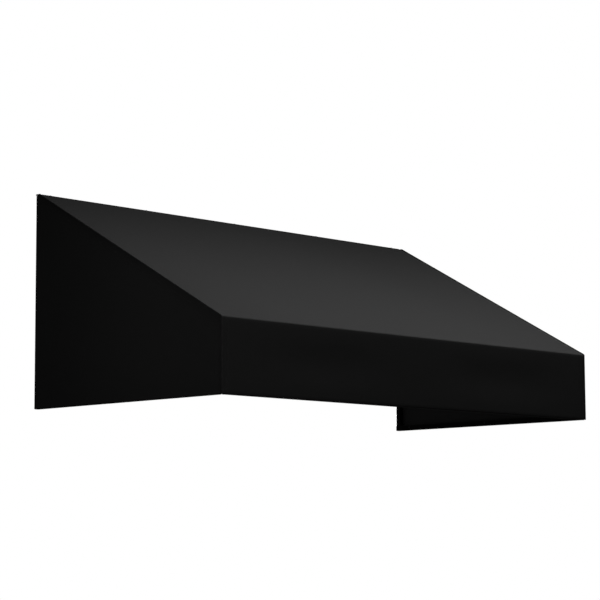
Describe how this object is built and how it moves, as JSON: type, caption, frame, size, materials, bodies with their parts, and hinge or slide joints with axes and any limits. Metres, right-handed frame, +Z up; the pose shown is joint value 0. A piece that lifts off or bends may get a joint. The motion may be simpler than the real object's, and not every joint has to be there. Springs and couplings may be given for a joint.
{
  "type": "fixed fabric awning",
  "caption": "Fixed wall awning: black fabric cover with a sloping top, upright front and closed sides, tight over a welded square-tube frame.",
  "frame": {"origin": "middle of the header tube's back face, which lies on the wall", "axes": "+X along the wall to the right as seen from in front, +Y into the wall, +Z up"},
  "size_m": [1.8356, 0.9025, 0.7242],
  "materials": {
    "cloth": "matte",
    "welt": "matte",
    "frame": "satin",
    "bracket": "satin",
    "strip": "satin",
    "plug": "matte",
    "screw": "satin"
  },
  "bodies": {
    "root": {"header_tube": "frame", "rear_upright_left": "frame", "rear_upright_right": "frame", "rafter_left": "frame", "rafter_middle": "frame", "rafter_right": "frame", "front_top_bar": "frame", "front_bottom_bar": "frame", "front_post_left": "frame", "front_post_middle": "frame", "front_post_right": "frame", "bottom_rail_left": "frame", "bottom_rail_right": "frame", "header_plug_left": "plug", "header_plug_right": "plug", "front_top_plug_left": "plug", "front_top_plug_right": "plug", "front_bottom_plug_left": "plug", "front_bottom_plug_right": "plug", "rear_upright_plug_left": "plug", "rear_upright_plug_right": "plug", "cover_top": "cloth", "cover_wing_left": "cloth", "cover_wing_right": "cloth", "welt_left": "welt", "welt_right": "welt", "header_batten": "strip", "front_batten": "strip", "side_batten_left": "strip", "side_batten_right": "strip", "header_bracket_left": "bracket", "header_bracket_middle": "bracket", "header_bracket_right": "bracket", "foot_bracket_left": "bracket", "foot_bracket_right": "bracket", "header_screw_left": "screw", "header_screw_middle": "screw", "header_screw_right": "screw", "foot_screw_left": "screw", "foot_screw_right": "screw", "header_batten_screw_1": "screw", "header_batten_screw_2": "screw", "header_batten_screw_3": "screw", "header_batten_screw_4": "screw", "header_batten_screw_5": "screw", "front_batten_screw_1": "screw", "front_batten_screw_2": "screw", "front_batten_screw_3": "screw", "front_batten_screw_4": "screw", "front_batten_screw_5": "screw", "side_batten_left_screw_1": "screw", "side_batten_left_screw_2": "screw", "side_batten_left_screw_3": "screw", "side_batten_right_screw_1": "screw", "side_batten_right_screw_2": "screw", "side_batten_right_screw_3": "screw"}
  },
  "joints": []
}
